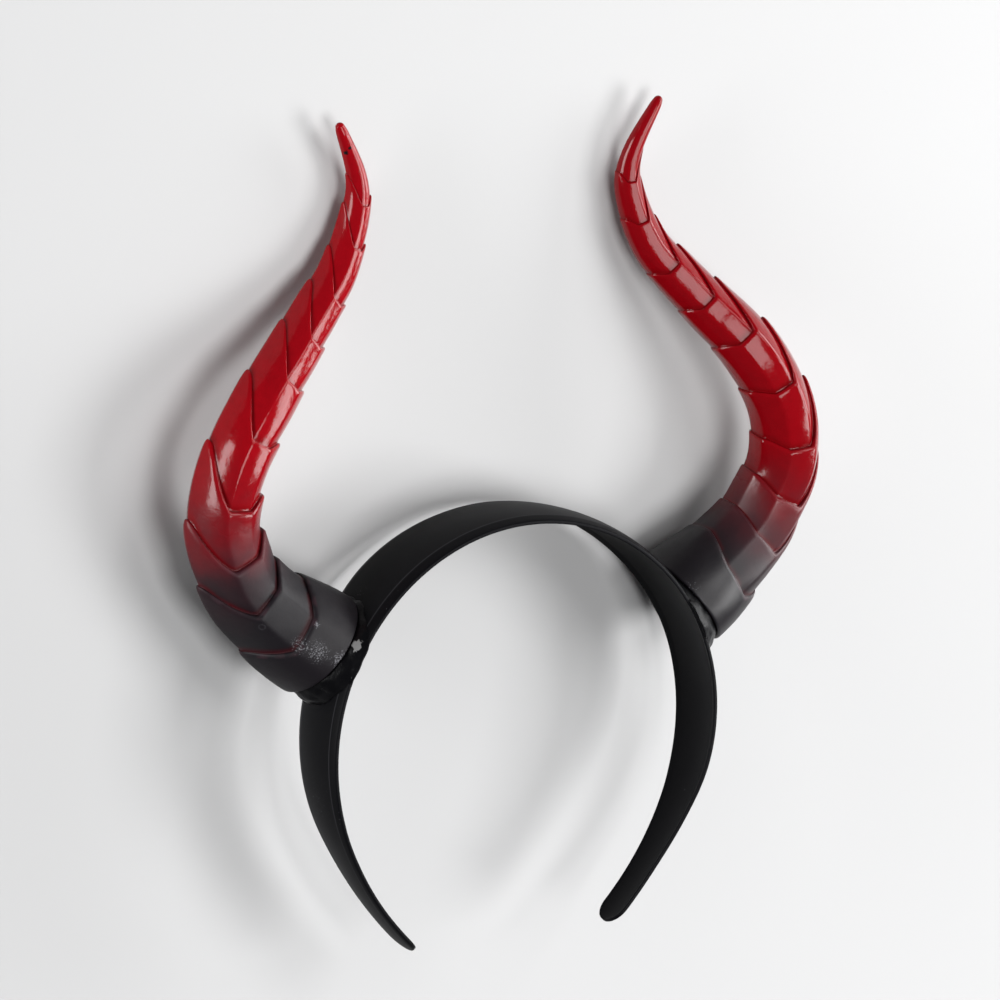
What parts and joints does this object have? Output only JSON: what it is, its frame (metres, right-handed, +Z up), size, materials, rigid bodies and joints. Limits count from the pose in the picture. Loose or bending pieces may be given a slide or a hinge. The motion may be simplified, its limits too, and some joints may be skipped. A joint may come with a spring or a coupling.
{
  "type": "devil horns headband",
  "caption": "Arched plastic headband with a pair of hollow, curved and scaled costume horns glued to its outer face.",
  "frame": {"origin": "middle of the ground under the headband, which lies on its back, front side up", "axes": "+Y from the legs towards the horn tips, +Z up and out of the front, +X to the wearer's left as seen from the front"},
  "size_m": [0.2444, 0.28, 0.041],
  "materials": {
    "band_plastic": "satin black",
    "horn_lacquer": "glossy red fading to black at the foot",
    "set_glue": "lumpy black glue"
  },
  "bodies": {
    "root": {"band": "band_plastic", "horn_left": "horn_lacquer", "horn_right": "horn_lacquer", "glue_left": "set_glue", "glue_right": "set_glue"}
  },
  "joints": []
}
